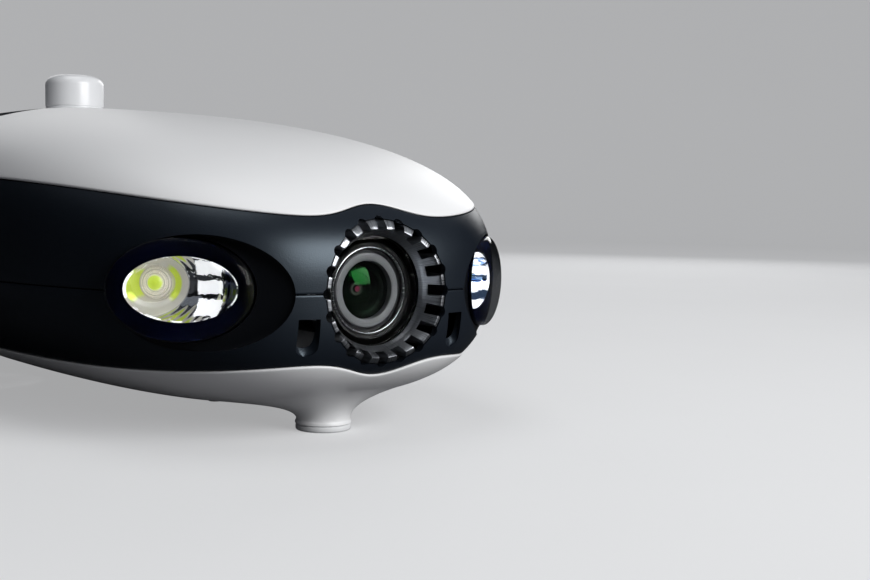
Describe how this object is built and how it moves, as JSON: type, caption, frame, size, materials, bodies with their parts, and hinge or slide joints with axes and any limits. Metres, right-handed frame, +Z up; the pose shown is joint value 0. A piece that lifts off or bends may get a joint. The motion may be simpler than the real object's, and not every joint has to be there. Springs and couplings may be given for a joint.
{
  "type": "underwater inspection rov",
  "caption": "Rounded inspection submersible: white shells over a black belt, nose camera in a notched bezel, oval lamps, ducted propellers and a screw cap over the tether port.",
  "frame": {"origin": "centre of the overall box, on the plane under the feet", "axes": "-Y forward through the nose camera, +X to port, +Z up"},
  "size_m": [0.331, 0.3807, 0.154],
  "materials": {
    "shell_white": "satin gloss",
    "belt_black": "fine texture",
    "bezel": "dark anodised, radially brushed",
    "port_glass": "gloss",
    "seal": "matte",
    "camera_metal": "black anodised",
    "trim_bright": "polished",
    "baffle_grey": "matte",
    "lens_coated": "coated",
    "circuit": "solder mask",
    "lamp_glass": "clear",
    "lamp_mask": "navy gloss",
    "lamp_chrome": "mirror",
    "lamp_source": "phosphor",
    "lamp_optic": "clear",
    "lamp_can": "black anodised",
    "duct_black": "satin",
    "motor_can": "sealed can",
    "propeller": "satin",
    "chassis": "moulded",
    "tube_metal": "grey anodised",
    "cell_wrap": "sleeve",
    "socket_metal": "machined",
    "cap_white": "satin",
    "pad_white": "pale elastomer",
    "steel": "stainless",
    "brass": "turned"
  },
  "bodies": {
    "hull": {"battery_cells": "cell_wrap", "belt_lower": "belt_black", "belt_upper": "belt_black", "bottom_shell": "shell_white", "camera_barrel": "camera_metal", "camera_board": "circuit", "chassis": "chassis", "duct_aft_port": "duct_black", "duct_aft_starboard": "duct_black", "duct_fore_port": "duct_black", "duct_fore_starboard": "duct_black", "foot_pads": "pad_white", "lamp_can_port": "lamp_can", "lamp_can_starboard": "lamp_can", "lamp_glass_port": "lamp_glass", "lamp_glass_starboard": "lamp_glass", "lamp_mask_port": "lamp_mask", "lamp_mask_starboard": "lamp_mask", "lamp_optic_port": "lamp_optic", "lamp_optic_starboard": "lamp_optic", "lamp_reflector_port": "lamp_chrome", "lamp_reflector_starboard": "lamp_chrome", "lamp_source_port": "lamp_source", "lamp_source_starboard": "lamp_source", "lens_baffle": "baffle_grey", "lens_glass": "lens_coated", "lens_ring": "bezel", "main_board": "circuit", "motor_aft_port": "motor_can", "motor_aft_starboard": "motor_can", "motor_fore_port": "motor_can", "motor_fore_starboard": "motor_can", "motor_side_port": "motor_can", "motor_side_starboard": "motor_can", "mount_inserts": "brass", "nozzle_side_port": "duct_black", "nozzle_side_starboard": "duct_black", "port_glass": "port_glass", "port_seal": "seal", "pressure_tube": "tube_metal", "shell_screws": "steel", "tether_socket": "socket_metal", "top_shell": "shell_white", "trim_ring": "trim_bright", "tube_cap_front": "tube_metal", "tube_cap_rear": "tube_metal"},
    "tether_cap": {"tether_cap": "cap_white"},
    "propeller_fore_port": {"propeller_fore_port": "propeller"},
    "propeller_aft_port": {"propeller_aft_port": "propeller"},
    "propeller_side_port": {"propeller_side_port": "propeller"},
    "propeller_fore_starboard": {"propeller_fore_starboard": "propeller"},
    "propeller_aft_starboard": {"propeller_aft_starboard": "propeller"},
    "propeller_side_starboard": {"propeller_side_starboard": "propeller"}
  },
  "joints": [
    {"name": "tether_cap_lift", "type": "slide", "parent": "hull", "child": "tether_cap", "axis": [0, 0, 1], "range_m": [0, 0.03]},
    {"name": "spin_fore_port", "type": "hinge", "parent": "hull", "child": "propeller_fore_port", "pos_m": [0.068, 0.047, 0.062], "axis": [0, 0, 1], "continuous": true},
    {"name": "spin_aft_port", "type": "hinge", "parent": "hull", "child": "propeller_aft_port", "pos_m": [0.068, 0.111, 0.062], "axis": [0, 0, 1], "continuous": true},
    {"name": "spin_side_port", "type": "hinge", "parent": "hull", "child": "propeller_side_port", "pos_m": [0.135, 0.053, 0.056], "axis": [0, 1, 0], "continuous": true},
    {"name": "spin_fore_starboard", "type": "hinge", "parent": "hull", "child": "propeller_fore_starboard", "pos_m": [-0.068, 0.047, 0.062], "axis": [0, 0, 1], "continuous": true},
    {"name": "spin_aft_starboard", "type": "hinge", "parent": "hull", "child": "propeller_aft_starboard", "pos_m": [-0.068, 0.111, 0.062], "axis": [0, 0, 1], "continuous": true},
    {"name": "spin_side_starboard", "type": "hinge", "parent": "hull", "child": "propeller_side_starboard", "pos_m": [-0.135, 0.053, 0.056], "axis": [0, 1, 0], "continuous": true}
  ]
}
